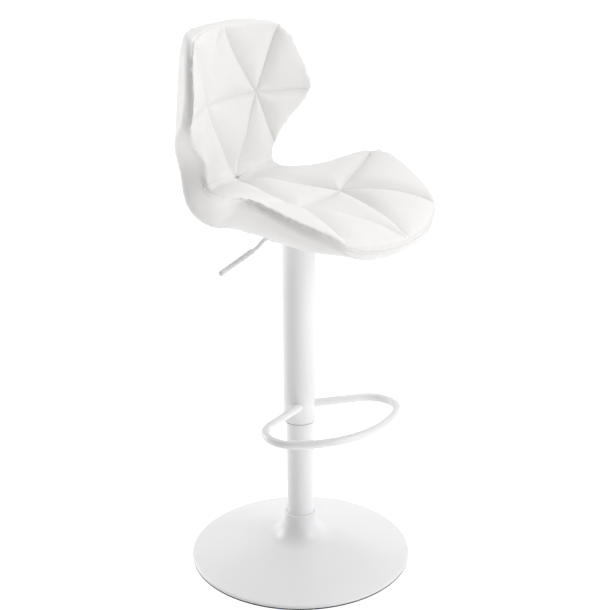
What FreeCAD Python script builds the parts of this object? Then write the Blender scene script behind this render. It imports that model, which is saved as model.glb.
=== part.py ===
import FreeCAD, Part
import math
import os
import Sketcher
from FreeCAD import Placement, Rotation, Vector

# Adjustable swivel bar stool, in millimetres.
# The origin is on the column's axis at the floor, +Z is up and the sitter faces -Y.
# It is drawn near its highest setting, and lift_down is the travel below that.

doc = FreeCAD.newDocument("BarStool")
sheet = doc.addObject("Spreadsheet::Sheet", "Sizes")

SIZES = [
    # base
    ("base_diameter", 410),
    ("base_wall", 2),
    ("rim_level", 7.5),
    ("rim_rounding", 4),
    ("flare_radius", 45),
    ("flare_slope", 12),
    ("floor_ring_thickness", 3),
    ("floor_ring_width", 9),
    ("disc_level", 14),
    ("disc_thickness", 4),
    # column
    ("tube_diameter", 50),
    ("tube_wall", 2),
    ("tube_low", 5),
    ("neck_gap", 3),
    ("collar_height", 9),
    ("collar_skirt", 12),
    ("nut_diameter", 72),
    ("nut_height", 7),
    ("sleeve_diameter", 60),
    ("sleeve_wall", 1.5),
    ("sleeve_bush_length", 24),
    ("sleeve_bush_lip", 2),
    ("running", 0.06),
    # gas spring and swivel bearing
    ("cylinder_diameter", 28),
    ("cylinder_wall", 2),
    ("rod_diameter", 10),
    ("shoulder_diameter", 20),
    ("race_diameter", 30),
    ("race_thickness", 2.5),
    ("ball_diameter", 4),
    ("plug_thickness", 12),
    ("clip_thickness", 1.5),
    ("shoulder_thickness", 5),
    ("piston_length", 12),
    ("end_guide_length", 15),
    ("column_guide_length", 70),
    ("lift_down", 180),
    ("lift_up", 10),
    ("travel_gap", 4),
    ("button_diameter", 6),
    # mechanism under the seat
    ("plate_width", 150),
    ("plate_depth", 150),
    ("plate_thickness", 3),
    ("plate_corner", 12),
    ("bolt_spacing", 120),
    ("bolt_diameter", 6),
    ("washer_thickness", 1.2),
    ("nut_gap", 0.3),
    ("housing_length", 84),
    ("housing_width", 64),
    ("housing_height", 20),
    ("housing_wall", 3),
    ("socket_diameter", 40),
    ("socket_length", 35),
    ("taper_drop", 1),
    # lever
    ("lever_rod_diameter", 7),
    ("lever_grip_diameter", 10),
    ("lever_offset", 24),
    ("lever_reach", 184),
    ("pivot_distance", 35),
    ("tongue_nose", 5),
    ("lever_rock", 5),
    ("lever_gap", 0.61),
    ("pin_diameter", 3.5),
    # footrest
    ("footrest_level", 313),
    ("footrest_tube", 15),
    ("footrest_tube_wall", 1.5),
    ("footrest_reach", 178),
    ("footrest_bow", 189),
    ("footrest_corner", 50),
    ("footrest_apex", 14),
    ("footrest_arm_angle", 68.5),
    ("footrest_turn", 18.5),
    # seat
    ("seat_level", 704),
    ("pan_front", 225),
    ("pan_back", 132),
    ("pan_width", 382),
    ("front_width", 256),
    ("waist_width", 200),
    ("pan_wing", 50),
    ("front_drop", 32),
    ("crease_rise", 15),
    ("back_height", 262),
    ("back_width", 338),
    ("crown_width", 226),
    ("back_wing", 57),
    ("back_lean", 25),
    ("pan_thickness", 56),
    ("junction_thickness", 64),
    ("back_thickness", 33),
    ("front_thickness", 22),
    ("crown_thickness", 26),
    ("edge_thickness", 20),
    ("waist_edge_thickness", 67),
    ("cover_share", 0.14),
    ("board_share", 0.30),
]


def fill_sheet():
    """Write each size as a plain number with its name as the alias."""
    for row, (name, value) in enumerate(SIZES, start=1):
        sheet.set("A%d" % row, name)
        sheet.set("B%d" % row, str(value))
        sheet.setAlias("B%d" % row, name)
    doc.recompute()


fill_sheet()


def worked_out(name, expression):
    """Add a size that follows from others, and return its name."""
    row = len(SIZES) + 1 + len(DERIVED)
    sheet.set("A%d" % row, name)
    sheet.set("B%d" % row, "=" + expression)
    sheet.setAlias("B%d" % row, name)
    DERIVED.append(name)
    return name


DERIVED = []
worked_out("base_radius", "base_diameter / 2")
worked_out("tube_radius", "tube_diameter / 2")
worked_out("tube_bore", "tube_radius - tube_wall")
worked_out("neck_radius", "tube_radius + neck_gap + base_wall")
worked_out("flare_centre", "neck_radius + flare_radius")
worked_out("flare_end", "flare_centre - flare_radius * sin(flare_slope * 1 deg)")
worked_out("cone_drop", "(base_radius - rim_rounding - flare_end) * tan(flare_slope * 1 deg)")
worked_out("neck_top", "rim_level + cone_drop + flare_radius * cos(flare_slope * 1 deg)")
worked_out("collar_top", "neck_top + collar_height")
worked_out("plug_low", "tube_low + clip_thickness + 5.5")
worked_out("plug_top", "plug_low + plug_thickness")
worked_out("ball_level", "plug_top + race_thickness")
worked_out("upper_race_low", "ball_level + ball_diameter")
worked_out("shoulder_low", "upper_race_low + race_thickness")
worked_out("shoulder_top", "shoulder_low + shoulder_thickness")
worked_out("cylinder_radius", "cylinder_diameter / 2")
worked_out("cylinder_bore", "cylinder_radius - cylinder_wall")
worked_out("cylinder_low", "shoulder_top + lift_down + travel_gap")
worked_out("piston_low", "cylinder_low + end_guide_length + lift_up + travel_gap")
worked_out("plate_top", "seat_level - pan_thickness + 1")
worked_out("plate_low", "plate_top - plate_thickness")
worked_out("housing_low", "plate_low - housing_height")
worked_out("socket_low", "housing_low + housing_wall - socket_length")
worked_out("cylinder_top", "housing_low + housing_wall + 0.4")
worked_out("tube_top", "socket_low - lift_down - travel_gap")
worked_out("sleeve_bore", "sleeve_diameter / 2 - sleeve_wall")
worked_out("sleeve_low", "collar_top + lift_down + 2 * travel_gap + sleeve_bush_lip")
worked_out("tongue_drop", "(pivot_distance + tongue_nose) * sin(lever_rock * 1 deg)")
worked_out("lever_level", "cylinder_top + tongue_drop + lever_rod_diameter / 2 + lever_gap")
worked_out("button_top", "lever_level - lever_rod_diameter / 2 - 0.2")
worked_out("rod_end", "plug_low - clip_thickness - 2.5")
worked_out("nut_low", "plate_top + pan_thickness * cover_share")
worked_out("nut_top", "plate_top + pan_thickness * board_share - washer_thickness")
doc.recompute()


def value(expression):
    """Number that an expression of the sheet's sizes stands for."""
    result = sheet.evalExpression(expression)
    return float(getattr(result, "Value", result))


def bound(expression):
    """The same expression as other objects write it, with the sheet's name before each size."""
    names = sorted([name for name, _ in SIZES] + DERIVED, key=len, reverse=True)
    words = []
    word = ""
    for letter in expression + " ":
        if letter.isalnum() or letter == "_":
            word += letter
            continue
        words.append("Sizes." + word if word in names else word)
        words.append(letter)
        word = ""
    return "".join(words).strip()


def bind(item, prop, expression):
    """Tie a property to an expression of sizes."""
    item.setExpression(prop, bound(expression))


def origin_part(body, role):
    """Plane or axis of a body's own origin."""
    return next(item for item in body.Origin.OriginFeatures if item.Role == role)


def new_sketch(body, name, plane):
    """Empty sketch on one of the body's origin planes."""
    sketch = body.newObject("Sketcher::SketchObject", name)
    sketch.AttachmentSupport = [(origin_part(body, plane), "")]
    sketch.MapMode = "FlatFace"
    return sketch


def pin_point(sketch, index, place, across, up):
    """Fix one point of a sketch at two expressions from the sketch's origin."""
    for kind, expression in (("DistanceX", across), ("DistanceY", up)):
        number = sketch.addConstraint(
            Sketcher.Constraint(kind, -1, 1, index, place, value(expression)))
        sketch.setExpression("Constraints[%d]" % number, bound(expression))


def arc_between(first, last, radius, left):
    """Arc from first to last, its centre to the left or right of the way there."""
    middle = (first + last) * 0.5
    along = last - first
    half = along.Length / 2
    side = Vector(-along.y, along.x, 0).normalize() * (1 if left else -1)
    centre = middle + side * math.sqrt(max(radius * radius - half * half, 0))
    angles = [math.atan2(p.y - centre.y, p.x - centre.x) for p in (first, last)]
    if not left:
        angles.reverse()
    if angles[1] < angles[0]:
        angles[1] += 2 * math.pi
    return Part.ArcOfCircle(Part.Circle(centre, Vector(0, 0, 1), radius), angles[0], angles[1])


def turned(label, outline):
    """Body of revolution about the column axis.

    The outline lists (radius, height) expressions. A third entry makes the edge to the next
    point an arc: its radius, with a minus sign where the centre is on the right of the way.
    """
    body = doc.addObject("PartDesign::Body", label)
    sketch = new_sketch(body, label + "_outline", "XZ_Plane")
    points = [Vector(value(entry[0]), value(entry[1]), 0) for entry in outline]
    starts = []
    for index, entry in enumerate(outline):
        here, there = points[index], points[(index + 1) % len(points)]
        if len(entry) == 2:
            sketch.addGeometry(Part.LineSegment(here, there))
            starts.append(1)
            continue
        left = not entry[2].startswith("-")
        radius = entry[2].lstrip("-")
        sketch.addGeometry(arc_between(here, there, value(radius), left))
        starts.append(1 if left else 2)
    for index, entry in enumerate(outline):
        following = (index + 1) % len(outline)
        sketch.addConstraint(Sketcher.Constraint(
            "Coincident", index, 3 - starts[index], following, starts[following]))
        pin_point(sketch, index, starts[index], entry[0], entry[1])
        if len(entry) == 3:
            radius = entry[2].lstrip("-")
            number = sketch.addConstraint(Sketcher.Constraint("Radius", index, value(radius)))
            sketch.setExpression("Constraints[%d]" % number, bound(radius))
    turn = body.newObject("PartDesign::Revolution", label + "_turn")
    turn.Profile = (sketch, [""])
    turn.ReferenceAxis = (sketch, ["V_Axis"])
    turn.Angle = 360
    sketch.Visibility = False
    return body


def ring(label, outer, inner, low, high):
    """Plain ring or tube about the column axis."""
    return turned(label, [(inner, low), (outer, low), (outer, high), (inner, high)])


def disc(label, outer, low, high):
    """Solid round about the column axis."""
    return turned(label, [("0", low), (outer, low), (outer, high), ("0", high)])


def cylinder(name, radius, height, across="0", depth="0", low="0"):
    """Upright Part cylinder whose sizes and place are expressions."""
    item = doc.addObject("Part::Cylinder", name)
    bind(item, "Radius", radius)
    bind(item, "Height", height)
    for axis, expression in (("x", across), ("y", depth), ("z", low)):
        bind(item, "Placement.Base." + axis, expression)
    return item


def block(name, length, width, height, across, depth, low):
    """Box centred in plan on (across, depth), standing on low."""
    item = doc.addObject("Part::Box", name)
    bind(item, "Length", length)
    bind(item, "Width", width)
    bind(item, "Height", height)
    bind(item, "Placement.Base.x", "%s - (%s) / 2" % (across, length))
    bind(item, "Placement.Base.y", "%s - (%s) / 2" % (depth, width))
    bind(item, "Placement.Base.z", low)
    return item


def joined(label, pieces):
    """Union of several shapes."""
    item = doc.addObject("Part::MultiFuse", label)
    item.Shapes = pieces
    item.Refine = True
    return item


def cut(label, base, tools):
    """Base with the tools taken away."""
    item = doc.addObject("Part::Cut", label)
    item.Base = base
    item.Tool = tools[0] if len(tools) == 1 else joined(label + "_tools", tools)
    return item


def grouped(label, pieces):
    """Several separate solids as one sub-part."""
    item = doc.addObject("Part::Compound", label)
    item.Links = pieces
    return item


# Base and column


def base_dish():
    """Spun trumpet: a neck, a flare, a shallow cone and a turned-down rim."""
    inner_flare = "flare_radius + base_wall"
    inner_end = "flare_centre - (flare_radius + base_wall) * sin(flare_slope * 1 deg)"
    flare_low = "neck_top - flare_radius * cos(flare_slope * 1 deg)"
    inner_low = "neck_top - (flare_radius + base_wall) * cos(flare_slope * 1 deg)"
    rim_in = "base_radius - rim_rounding"
    under_rim = "rim_level - base_wall * 1.15"
    return turned("base_dish", [
        ("neck_radius", "neck_top", "flare_radius"),
        ("flare_end", flare_low),
        (rim_in, "rim_level", "-rim_rounding * 1.1"),
        ("base_radius", "floor_ring_thickness"),
        ("base_radius - base_wall", "floor_ring_thickness"),
        ("base_radius - base_wall", under_rim + " - base_wall / 2"),
        ("base_radius - rim_rounding", under_rim),
        (inner_end, inner_low, "-(" + inner_flare + ")"),
        ("neck_radius - base_wall", "neck_top"),
    ])


def floor_ring():
    """Soft ring that the rim stands on."""
    inner = "base_radius - floor_ring_width"
    return ring("floor_ring", "base_radius - 0.5", inner, "0", "floor_ring_thickness")


def weight_disc():
    """Steel disc under the dish, its edge sloped to bear on the cone."""
    slope = "tan(flare_slope * 1 deg)"
    level = "(rim_level - base_wall * 1.15)"
    rim = "base_radius - rim_rounding"
    low_radius = "%s - (disc_level - %s) / %s" % (rim, level, slope)
    high_radius = "%s - disc_thickness / %s" % (low_radius, slope)
    return turned("weight_disc", [
        ("tube_radius", "disc_level"),
        (low_radius, "disc_level"),
        (high_radius, "disc_level + disc_thickness"),
        ("tube_radius", "disc_level + disc_thickness"),
    ])


def collar_ring():
    """Trim ring on the neck, with a skirt that fills the gap around the tube."""
    return turned("collar_ring", [
        ("tube_radius", "neck_top - collar_skirt"),
        ("tube_radius + neck_gap", "neck_top - collar_skirt"),
        ("tube_radius + neck_gap", "neck_top"),
        ("neck_radius - 0.4", "neck_top"),
        ("neck_radius - 0.4", "collar_top - 1.5"),
        ("neck_radius - 1.9", "collar_top"),
        ("tube_radius", "collar_top"),
    ])


def column_nut():
    """Ring nut that clamps the weight disc on the tube's foot."""
    nut = doc.addObject("Part::Prism", "column_nut_blank")
    nut.Polygon = 6
    bind(nut, "Circumradius", "nut_diameter / 2")
    bind(nut, "Height", "nut_height")
    bind(nut, "Placement.Base.z", "disc_level - nut_height")
    bore = cylinder("column_nut_bore", "tube_radius", "nut_height", low="disc_level - nut_height")
    return cut("column_nut", nut, [bore])


def column_parts():
    """Fixed tube, its plug, its guide and the lower half of the swivel bearing."""
    rod_hole = "rod_diameter / 2 + running"
    cage_outer = "race_diameter / 2"
    balls = []
    for number in range(10):
        ball = doc.addObject("Part::Sphere", "ball_%d" % number)
        bind(ball, "Radius", "ball_diameter / 2")
        turn = 36 * number
        pitch = "(race_diameter / 2 + rod_diameter / 2) / 2"
        bind(ball, "Placement.Base.x", "%s * cos(%d deg)" % (pitch, turn))
        bind(ball, "Placement.Base.y", "%s * sin(%d deg)" % (pitch, turn))
        bind(ball, "Placement.Base.z", "ball_level + ball_diameter / 2")
        balls.append(ball)
    return [
        ring("column_tube", "tube_radius", "tube_bore", "tube_low", "tube_top"),
        ring("foot_plug", "tube_bore", rod_hole, "plug_low", "plug_top"),
        ring("lower_race", cage_outer, rod_hole, "plug_top", "ball_level"),
        grouped("bearing_balls", balls),
        ring("column_guide", "tube_bore", "cylinder_radius + running",
             "tube_top - column_guide_length", "tube_top"),
    ]


# Gas spring


def piston_parts():
    """Rod with its shoulder, upper race, clip and piston: they hang together in the tube."""
    rod = "rod_diameter / 2"
    top = "piston_low + piston_length"
    clip_low = "plug_low - clip_thickness - 0.3"
    return [
        turned("piston_rod", [
            ("0", "rod_end"),
            (rod, "rod_end"),
            (rod, clip_low),
            (rod + " - 1", clip_low),
            (rod + " - 1", clip_low + " + clip_thickness"),
            (rod, clip_low + " + clip_thickness"),
            (rod, "shoulder_low"),
            ("shoulder_diameter / 2", "shoulder_low"),
            ("shoulder_diameter / 2", "shoulder_top"),
            (rod, "shoulder_top"),
            (rod, top),
            ("0", top),
        ]),
        ring("upper_race", "race_diameter / 2", rod, "upper_race_low + 0.05", "shoulder_low"),
        ring("rod_clip", rod + " + 3", rod + " - 1", clip_low, clip_low + " + clip_thickness"),
        ring("piston_head", "cylinder_bore - running", rod, "piston_low", top),
    ]


def cylinder_parts():
    """Pressure tube with its tapered top, the end guide and the valve button."""
    cone_top = "cylinder_radius - taper_drop"
    button_hole = "button_diameter / 2 + running"
    return [
        turned("gas_cylinder", [
            ("cylinder_bore", "cylinder_low"),
            ("cylinder_radius", "cylinder_low"),
            ("cylinder_radius", "socket_low"),
            (cone_top, "cylinder_top"),
            (button_hole, "cylinder_top"),
            (button_hole, "cylinder_top - 24"),
            ("cylinder_bore", "cylinder_top - 24"),
        ]),
        ring("end_guide", "cylinder_bore", "rod_diameter / 2 + running",
             "cylinder_low", "cylinder_low + end_guide_length"),
        disc("valve_button", "button_diameter / 2", "cylinder_top - 14", "button_top"),
    ]


# Sleeve and footrest


def sleeve_parts():
    """Wide tube that slides over the column, with a bush below and a ring above."""
    bush_low = "sleeve_low - sleeve_bush_lip"
    return [
        ring("outer_sleeve", "sleeve_diameter / 2", "sleeve_bore", "sleeve_low", "housing_low"),
        turned("sleeve_bush", [
            ("tube_radius + running", bush_low),
            ("sleeve_bore + sleeve_wall / 2", bush_low),
            ("sleeve_bore + sleeve_wall / 2", "sleeve_low"),
            ("sleeve_bore", "sleeve_low"),
            ("sleeve_bore", "sleeve_low + sleeve_bush_length"),
            ("tube_radius + running", "sleeve_low + sleeve_bush_length"),
        ]),
        ring("sleeve_top_ring", "sleeve_bore", "socket_diameter / 2",
             "housing_low - 20", "housing_low - 8"),
    ]


def footrest_path(body):
    """Half of the loop's path: from the middle of the front bar, round the corner to the apex."""
    sketch = new_sketch(body, "footrest_path", "XY_Plane")
    bind(sketch, "AttachmentOffset.Base.z", "footrest_level")
    reach = value("footrest_reach")
    bow = value("footrest_bow")
    corner = value("footrest_corner")
    lean = math.radians(value("footrest_arm_angle"))
    apex = Vector(0, -value("footrest_apex"), 0)
    bow_centre = Vector(0, bow - reach, 0)
    arm = Vector(math.sin(lean), -math.cos(lean), 0)
    inward = Vector(-math.cos(lean), -math.sin(lean), 0)
    start = apex + inward * corner - bow_centre
    gap = bow - corner
    run = -start.dot(arm) + math.sqrt(start.dot(arm) ** 2 - start.dot(start) + gap * gap)
    arm_end = apex + arm * run
    corner_centre = arm_end + inward * corner
    bow_end = corner_centre + (corner_centre - bow_centre).normalize() * corner
    sketch.addGeometry(arc_between(Vector(0, -reach, 0), bow_end, bow, True))
    sketch.addGeometry(arc_between(bow_end, arm_end, corner, True))
    sketch.addGeometry(Part.LineSegment(arm_end, apex))
    add = sketch.addConstraint
    add(Sketcher.Constraint("Tangent", 0, 2, 1, 1))
    add(Sketcher.Constraint("Tangent", 1, 2, 2, 1))
    for index, place in ((0, 1), (0, 3), (2, 2)):
        add(Sketcher.Constraint("PointOnObject", index, place, -2))
    for kind, items, expression in (
        ("Radius", (0,), "footrest_bow"),
        ("Radius", (1,), "footrest_corner"),
        ("DistanceY", (-1, 1, 0, 3), "footrest_bow - footrest_reach"),
        ("DistanceY", (-1, 1, 2, 2), "-footrest_apex"),
        ("Angle", (2,), "(90 + footrest_arm_angle) * 1 deg"),
    ):
        size = math.radians(value(expression)) if kind == "Angle" else value(expression)
        number = add(Sketcher.Constraint(kind, *items, size))
        sketch.setExpression("Constraints[%d]" % number, bound(expression))
    return sketch


def footrest_loop():
    """Bent tube in one plane, coped onto the sleeve and turned about the column."""
    body = doc.addObject("PartDesign::Body", "footrest_tube_body")
    path = footrest_path(body)
    pipes = []
    for kind, radius in (("PartDesign::AdditivePipe", "footrest_tube / 2"),
                         ("PartDesign::SubtractivePipe",
                          "footrest_tube / 2 - footrest_tube_wall")):
        section = new_sketch(body, "footrest_section", "YZ_Plane")
        place = Vector(-value("footrest_reach"), value("footrest_level"), 0)
        section.addGeometry(Part.Circle(place, Vector(0, 0, 1), value(radius)))
        pin_point(section, 0, 3, "-footrest_reach", "footrest_level")
        number = section.addConstraint(Sketcher.Constraint("Radius", 0, value(radius)))
        section.setExpression("Constraints[%d]" % number, bound(radius))
        doc.recompute()
        pipe = body.newObject(kind, "footrest_pipe")
        pipe.Profile = section
        pipe.Spine = (path, [])
        doc.recompute()
        pipes.append(pipe)
    mirror = body.newObject("PartDesign::Mirrored", "footrest_mirror")
    mirror.Originals = pipes
    mirror.MirrorPlane = (origin_part(body, "YZ_Plane"), [""])
    body.Tip = mirror
    space = cylinder("footrest_cope", "sleeve_diameter / 2", "3 * footrest_tube",
                     low="footrest_level - 1.5 * footrest_tube")
    loop = cut("footrest_loop", body, [space])
    bind(loop, "Placement.Rotation.Angle", "-footrest_turn * 1 deg")
    return loop


# Mechanism


def bolt_places():
    """Plan positions of the four seat bolts, as expressions."""
    return [(side + "bolt_spacing / 2", end + "bolt_spacing / 2")
            for side in ("-", "") for end in ("-", "")]


def mount_plate():
    """Rounded steel plate with four bolt holes and a hole over the valve button."""
    plate = block("mount_plate_blank", "plate_width", "plate_depth", "plate_thickness",
                  "0", "0", "plate_low")
    doc.recompute()
    rounded = doc.addObject("Part::Fillet", "mount_plate_rounded")
    rounded.Base = plate
    upright = [index for index, edge in enumerate(plate.Shape.Edges, start=1)
               if abs(edge.Vertexes[0].Z - edge.Vertexes[-1].Z) > 1]
    corner = value("plate_corner")
    rounded.Edges = [(index, corner, corner) for index in upright]
    holes = [cylinder("plate_hole_%d" % number, "bolt_diameter / 2 + 0.3", "plate_thickness",
                      across, depth, "plate_low")
             for number, (across, depth) in enumerate(bolt_places())]
    return cut("mount_plate", rounded, holes)


def lift_housing():
    """Folded box under the plate: open above and towards the lever, with a hole for the socket."""
    shell = block("housing_shell", "housing_length", "housing_width", "housing_height",
                  "0", "0", "housing_low")
    space = block("housing_space", "housing_length", "housing_width - 2 * housing_wall",
                  "housing_height", "-housing_wall", "0", "housing_low + housing_wall")
    hole = cylinder("housing_hole", "socket_diameter / 2", "housing_wall", low="housing_low")
    pin_hole = doc.addObject("Part::Cylinder", "housing_pin_hole")
    bind(pin_hole, "Radius", "pin_diameter / 2")
    bind(pin_hole, "Height", "housing_width")
    pin_hole.Placement = Placement(Vector(), Rotation(Vector(1, 0, 0), 90))
    bind(pin_hole, "Placement.Base.x", "-pivot_distance")
    bind(pin_hole, "Placement.Base.y", "housing_width / 2")
    bind(pin_hole, "Placement.Base.z", "lever_level")
    return cut("lift_housing", shell, [space, hole, pin_hole])


def taper_socket():
    """Tapered tube that takes the top of the gas cylinder."""
    top = "housing_low + housing_wall"
    share = "socket_length / (cylinder_top - socket_low)"
    return turned("taper_socket", [
        ("cylinder_radius", "socket_low"),
        ("socket_diameter / 2", "socket_low"),
        ("socket_diameter / 2", top),
        ("cylinder_radius - taper_drop * " + share, top),
    ])


def lever_pin():
    """Pin across the housing that the lever rocks on."""
    pin = doc.addObject("Part::Cylinder", "lever_pin")
    bind(pin, "Radius", "pin_diameter / 2")
    bind(pin, "Height", "housing_width")
    pin.Placement = Placement(Vector(), Rotation(Vector(1, 0, 0), 90))
    bind(pin, "Placement.Base.x", "-pivot_distance")
    bind(pin, "Placement.Base.y", "housing_width / 2")
    bind(pin, "Placement.Base.z", "lever_level")
    return pin


def seat_fasteners():
    """Bolts, washers and tee nuts that hold the board on the plate."""
    bolts = []
    washers = []
    nuts = []
    radius = "bolt_diameter / 2"
    washer_low = "plate_low - washer_thickness"
    for number, (across, depth) in enumerate(bolt_places()):
        head = doc.addObject("Part::Prism", "bolt_head_%d" % number)
        head.Polygon = 6
        bind(head, "Circumradius", "bolt_diameter * 0.95")
        bind(head, "Height", "bolt_diameter * 0.65")
        bind(head, "Placement.Base.x", across)
        bind(head, "Placement.Base.y", depth)
        bind(head, "Placement.Base.z", washer_low + " - bolt_diameter * 0.65")
        shank = cylinder("bolt_shank_%d" % number, radius, "nut_top - plate_low",
                         across, depth, washer_low)
        bolts.append(joined("bolt_%d" % number, [head, shank]))
        outer = cylinder("washer_disc_%d" % number, "bolt_diameter", "washer_thickness",
                         across, depth, washer_low)
        inner = cylinder("washer_hole_%d" % number, radius, "washer_thickness",
                         across, depth, washer_low)
        washers.append(cut("washer_%d" % number, outer, [inner]))
        barrel = cylinder("nut_barrel_%d" % number, radius + " + washer_thickness",
                          "nut_top - nut_low",
                          across, depth, "nut_low")
        flange = cylinder("nut_flange_%d" % number, "bolt_diameter * 1.4",
                          "washer_thickness", across, depth, "nut_top - washer_thickness")
        thread = cylinder("nut_thread_%d" % number, radius, "nut_top - nut_low",
                          across, depth, "nut_low")
        nuts.append(cut("nut_%d" % number, joined("nut_body_%d" % number, [barrel, flange]),
                        [thread]))
    return [
        grouped("mount_bolts", bolts),
        grouped("bolt_washers", washers),
        grouped("tee_nuts", nuts),
    ]


# Lever


def lever_parts():
    """Rocking lever: a tongue over the valve button, a cranked rod and a plastic grip."""
    level = value("lever_level")
    offset = value("lever_offset")
    half = value("lever_rod_diameter") / 2
    inside = value("housing_length") / 2
    reach = value("lever_reach")
    tongue = block("lever_tongue", "pivot_distance + tongue_nose + 9",
                   "lever_offset + (lever_rod_diameter + button_diameter * 2) / 2",
                   "lever_rod_diameter", "(tongue_nose - 9 - pivot_distance) / 2",
                   "(lever_offset + (lever_rod_diameter - button_diameter * 2) / 2) / 2",
                   "lever_level - lever_rod_diameter / 2")
    bore = doc.addObject("Part::Cylinder", "lever_bore")
    bind(bore, "Radius", "pin_diameter / 2 + running")
    bind(bore, "Height", "2 * housing_width")
    bore.Placement = Placement(Vector(), Rotation(Vector(1, 0, 0), 90))
    bind(bore, "Placement.Base.x", "-pivot_distance")
    bind(bore, "Placement.Base.y", "housing_width")
    bind(bore, "Placement.Base.z", "lever_level")
    rod_start = Vector(-value("pivot_distance") - 6, offset, level)
    first_bend = Vector(-inside - 26, offset, level)
    second_bend = first_bend + Vector(-18, 0, -9)
    tip = Vector(-reach, offset, second_bend.z - (reach + second_bend.x) * 0.18)
    rod = doc.addObject("Part::Feature", "lever_rod")
    rod.Shape = bent_rod([rod_start, first_bend, second_bend, tip], half, 9)
    lever = cut("height_lever", joined("lever_blank", [tongue, rod]), [bore])
    grip_start = second_bend + (tip - second_bend) * 0.14
    along = (tip - grip_start).normalize()
    grip_half = value("lever_grip_diameter") / 2
    grip = doc.addObject("Part::Feature", "lever_grip")
    length = (tip - grip_start).Length + 4
    shape = Part.makeCylinder(grip_half, length, grip_start, along)
    shape = shape.makeFillet(grip_half * 0.5, shape.Edges[:1] + shape.Edges[2:])
    grip.Shape = shape.cut(Part.makeCylinder(half, length - 4, grip_start, along))
    return [lever, grip]


def bent_rod(points, radius, bend):
    """Round rod along straight runs joined by arcs."""
    edges = []
    here = points[0]
    for before, corner, after in zip(points, points[1:], points[2:]):
        back = (before - corner).normalize()
        ahead = (after - corner).normalize()
        half_angle = (math.pi - back.getAngle(ahead)) / 2
        trim = bend * math.tan(half_angle)
        first = corner + back * trim
        last = corner + ahead * trim
        to_centre = (back + ahead).normalize() * (bend / math.cos(half_angle))
        middle = corner + to_centre - to_centre.normalize() * bend
        edges.append(Part.LineSegment(here, first).toShape())
        edges.append(Part.Arc(first, middle, last).toShape())
        here = last
    edges.append(Part.LineSegment(here, points[-1]).toShape())
    path = Part.Wire(edges)
    start = points[1] - points[0]
    section = Part.Wire([Part.Circle(points[0], start, radius).toShape()])
    return path.makePipeShell([section], True, False)


# Seat shell


def stations():
    """Lines across the seat from the front tip to the crown.

    Each gives the middle point, the edge point's offset from it (in Y and Z), the half-width,
    the thickness, the tilt of the outward direction (0 is down and 90 is backwards) and the
    thickness at the edge.
    """
    depth = value("pan_front + pan_back")
    front = -value("pan_front")
    level = value("seat_level")
    drop = value("front_drop")
    rise = value("crease_rise")
    crease_width = value("waist_width") / 2
    pan_half = value("pan_width") / 2
    front_half = value("front_width") / 2
    wing = value("pan_wing")
    pan = value("pan_thickness")
    junction = value("junction_thickness")
    back = value("back_thickness")
    tip = value("front_thickness")
    crown = value("crown_thickness")
    tall = value("back_height")
    lean = value("back_lean")
    back_half = value("back_width") / 2
    crown_half = value("crown_width") / 2
    fold = value("back_wing")
    edge = value("edge_thickness")
    waist_edge = value("waist_edge_thickness")
    low = level - drop
    crease_y = front + depth
    crease_z = level + rise

    def between(first, last, share):
        return first + (last - first) * share

    pan_lines = [
        (0.00, low, 26, wing * 0.16, front_half, tip, 0, edge * 0.9),
        (0.06, low + drop * 0.34, 17, wing * 0.31, between(front_half, pan_half, 0.27),
         between(tip, pan, 0.35), 0, edge),
        (0.16, low + drop * 0.72, 18, wing * 0.44, between(front_half, pan_half, 0.62),
         between(tip, pan, 0.76), 0, edge),
        (0.30, low + drop * 0.93, 13, wing * 0.68, between(front_half, pan_half, 0.89),
         between(tip, pan, 1.05), 0, edge),
        (0.50, level, 8, wing, pan_half, pan, 0, edge),
        (0.72, level + rise * 0.5, 0, wing * 0.38, between(crease_width, pan_half, 0.57),
         between(pan, junction, 0.4), 8, between(edge, waist_edge, 0.5)),
        (0.88, level + rise * 0.85, -11, wing * 0.04, between(crease_width, pan_half, 0.20),
         junction, 26, waist_edge),
    ]
    back_lines = [
        (0.00, 0.00, -11, 4, crease_width, junction, 46, waist_edge),
        (0.20, 0.28, -19, -7, crease_width * 1.03, between(junction, back, 0.40), 72, waist_edge),
        (0.35, 0.44, -fold * 0.50, -11, between(crease_width, back_half, 0.53),
         between(junction, back, 0.75), 84, between(edge, waist_edge, 0.6)),
        (0.51, 0.60, -fold, -3, back_half, back, 90, edge * 1.3),
        (0.66, 0.73, -fold, 0, between(crown_half, back_half, 0.80), back, 92, edge * 1.2),
        (0.80, 0.84, -fold * 0.89, -4, between(crown_half, back_half, 0.62),
         between(crown, back, 0.7), 93, edge * 1.1),
        (0.92, 0.93, -fold * 0.77, -5, between(crown_half, back_half, 0.38),
         between(crown, back, 0.3), 94, edge),
        (1.00, 1.00, -fold * 0.58, -7, crown_half, crown, 96, edge * 0.9),
    ]
    lines = [(front + depth * share, height, *rest) for share, height, *rest in pan_lines]
    lines += [(crease_y + lean * forward, crease_z + tall * share, *rest)
              for share, forward, *rest in back_lines]
    return lines


CREASE = 7
ACROSS = [-1.0, -0.86, -0.68, -0.48, -0.25, 0.0, 0.25, 0.48, 0.68, 0.86, 1.0]


def seat_point(line, across, share):
    """Point of the seat: share 1 is the sitting surface and share 0 is the outer surface."""
    y, z, side_y, side_z, half, thick, tilt, edge = line
    outward = Vector(0, math.sin(math.radians(tilt)), -math.cos(math.radians(tilt)))
    bend = abs(across) ** 1.8
    top = Vector(across * half, y + side_y * bend, z + side_z * bend)
    wing = -outward.dot(Vector(0, side_y, side_z))
    depth = thick + wing * bend - (thick + wing - edge) * abs(across) ** 4
    inset = across * 4 * abs(across) ** 3
    return top + outward * (depth * (1 - share)) - Vector(inset * (1 - share), 0, 0)


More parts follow.
